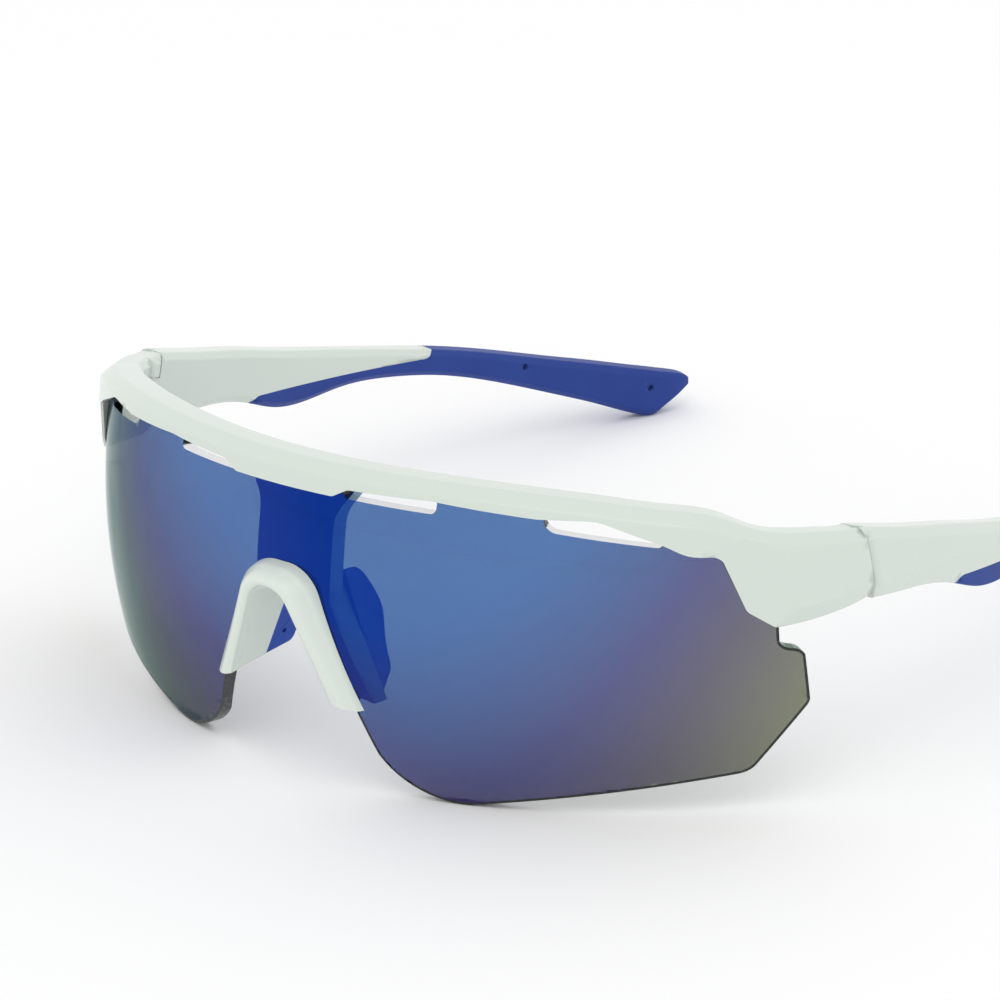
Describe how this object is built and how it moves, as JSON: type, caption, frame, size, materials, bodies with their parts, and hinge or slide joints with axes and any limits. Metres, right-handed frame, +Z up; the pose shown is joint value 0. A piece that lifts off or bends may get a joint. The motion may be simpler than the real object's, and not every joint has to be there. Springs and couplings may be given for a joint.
{
  "type": "shield sunglasses",
  "caption": "Half-frame sport sunglasses with a one-piece mirrored toric shield lens, brow bar, nose saddle with pads, and folding temples with rubber tips.",
  "frame": {"origin": "middle of the outer box on the table plane, standing on lens and temple tips", "axes": "+X to the wearer's left, +Y from the lens towards the temple tips, +Z up"},
  "size_m": [0.1436, 0.164, 0.0491],
  "materials": {
    "white_frame": "gloss moulded",
    "blue_rubber": "satin moulded rubber",
    "lens_mirror": "blue mirror coating",
    "screw_steel": "turned"
  },
  "bodies": {
    "front": {"brow_frame": "white_frame", "lens_shield": "lens_mirror", "nose_bridge": "white_frame", "nose_strut": "blue_rubber", "nose_pad_left": "blue_rubber", "nose_pad_right": "blue_rubber", "hinge_screw_left": "screw_steel", "hinge_screw_right": "screw_steel"},
    "arm_left": {"temple_left": "white_frame", "temple_tip_left": "blue_rubber"},
    "arm_right": {"temple_right": "white_frame", "temple_tip_right": "blue_rubber"}
  },
  "joints": [
    {"name": "fold_left", "type": "hinge", "parent": "front", "child": "arm_left", "pos_m": [0.06627, -0.03668, 0.03417], "axis": [0, 0.2853, 0.9584], "range_deg": [0, 76]},
    {"name": "fold_right", "type": "hinge", "parent": "front", "child": "arm_right", "pos_m": [-0.06627, -0.03668, 0.03417], "axis": [0, -0.2853, -0.9584], "range_deg": [0, 84]}
  ]
}
